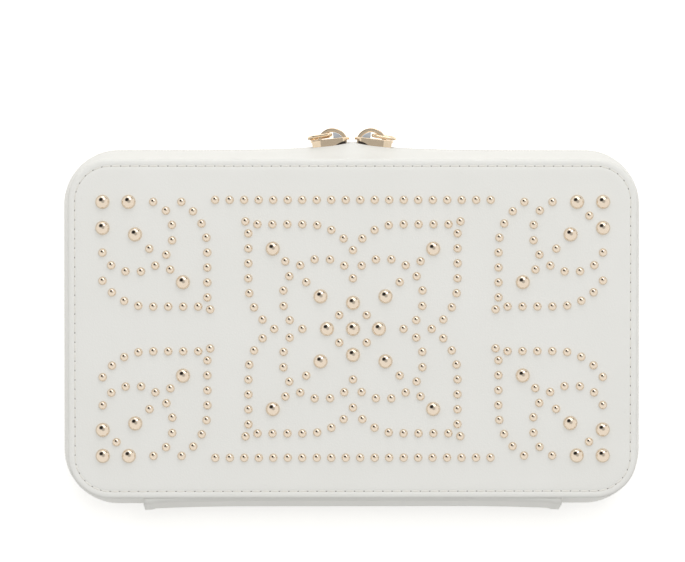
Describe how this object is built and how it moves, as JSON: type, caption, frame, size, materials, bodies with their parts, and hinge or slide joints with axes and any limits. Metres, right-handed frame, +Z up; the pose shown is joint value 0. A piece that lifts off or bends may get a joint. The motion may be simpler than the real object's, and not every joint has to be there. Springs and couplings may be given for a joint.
{
  "type": "zip-around jewellery case",
  "caption": "Flat rectangular leather jewellery case that unzips on three sides, with a domed stud ornament on its lid, ring rolls and compartments inside and a mirror in the lid.",
  "frame": {"origin": "centre of the flat bottom face of the base", "axes": "+Z up out of the lid, +X along the length, -Y to the front where the zip sliders meet"},
  "size_m": [0.2344, 0.155, 0.0593],
  "materials": {
    "ivory_leather": "smooth satin leather with a fine grain",
    "stud_metal": "polished pale gold plate",
    "slider_metal": "polished pale gold plate",
    "spring_steel": "bright spring steel",
    "case_board": "raw grey board",
    "padding_foam": "thin foam",
    "suede_lining": "short-nap suede cloth",
    "suede_roll": "short-nap suede cloth over foam",
    "zip_tape": "woven tape",
    "zip_coil": "moulded coil",
    "mirror": "silvered glass"
  },
  "bodies": {
    "base": {"base_face_leather": "ivory_leather", "base_wall_leather": "ivory_leather", "base_face_padding": "padding_foam", "base_face_board": "case_board", "base_rim_board": "case_board", "base_face_lining": "suede_lining", "base_wall_lining": "suede_lining", "base_zip_tape": "zip_tape", "base_zip_coil": "zip_coil", "spine_leather": "ivory_leather", "hinge_lining": "suede_lining", "divider_left": "suede_lining", "divider_right": "suede_lining", "cross_divider_left": "suede_lining", "cross_divider_right": "suede_lining", "ring_roll_1": "suede_roll", "ring_roll_2": "suede_roll", "ring_roll_3": "suede_roll", "ring_roll_4": "suede_roll", "ring_roll_5": "suede_roll", "ring_roll_6": "suede_roll", "ring_roll_7": "suede_roll"},
    "lid": {"lid_face_leather": "ivory_leather", "lid_wall_leather": "ivory_leather", "lid_face_padding": "padding_foam", "lid_face_board": "case_board", "lid_rim_board": "case_board", "lid_face_lining": "suede_lining", "lid_wall_lining": "suede_lining", "lid_zip_tape": "zip_tape", "lid_zip_coil": "zip_coil", "large_studs": "stud_metal", "small_studs": "stud_metal", "mirror_glass": "mirror", "mirror_frame": "ivory_leather"},
    "left_slider": {"slider_left": "slider_metal", "slider_bridge_left": "slider_metal", "lock_spring_left": "spring_steel"},
    "right_slider": {"slider_right": "slider_metal", "slider_bridge_right": "slider_metal", "lock_spring_right": "spring_steel"},
    "left_pull": {"ring_pull_left": "slider_metal"},
    "right_pull": {"ring_pull_right": "slider_metal"}
  },
  "joints": [
    {"name": "lid_hinge", "type": "hinge", "parent": "base", "child": "lid", "pos_m": [0, 0.0736, 0.0305], "axis": [-1, 0, 0], "range_deg": [0, 180], "deforming": ["spine_leather", "hinge_lining"]},
    {"name": "left_slider_run", "type": "slide", "parent": "base", "child": "left_slider", "axis": [-1, 0, 0], "range_m": [0, 0.075]},
    {"name": "right_slider_run", "type": "slide", "parent": "base", "child": "right_slider", "axis": [1, 0, 0], "range_m": [0, 0.075]},
    {"name": "left_pull_swing", "type": "hinge", "parent": "left_slider", "child": "left_pull", "pos_m": [-0.00861, -0.07797, 0.0305], "axis": [0, 0, 1], "range_deg": [0, 120]},
    {"name": "right_pull_swing", "type": "hinge", "parent": "right_slider", "child": "right_pull", "pos_m": [0.00861, -0.07797, 0.0305], "axis": [0, 0, -1], "range_deg": [0, 120]}
  ]
}
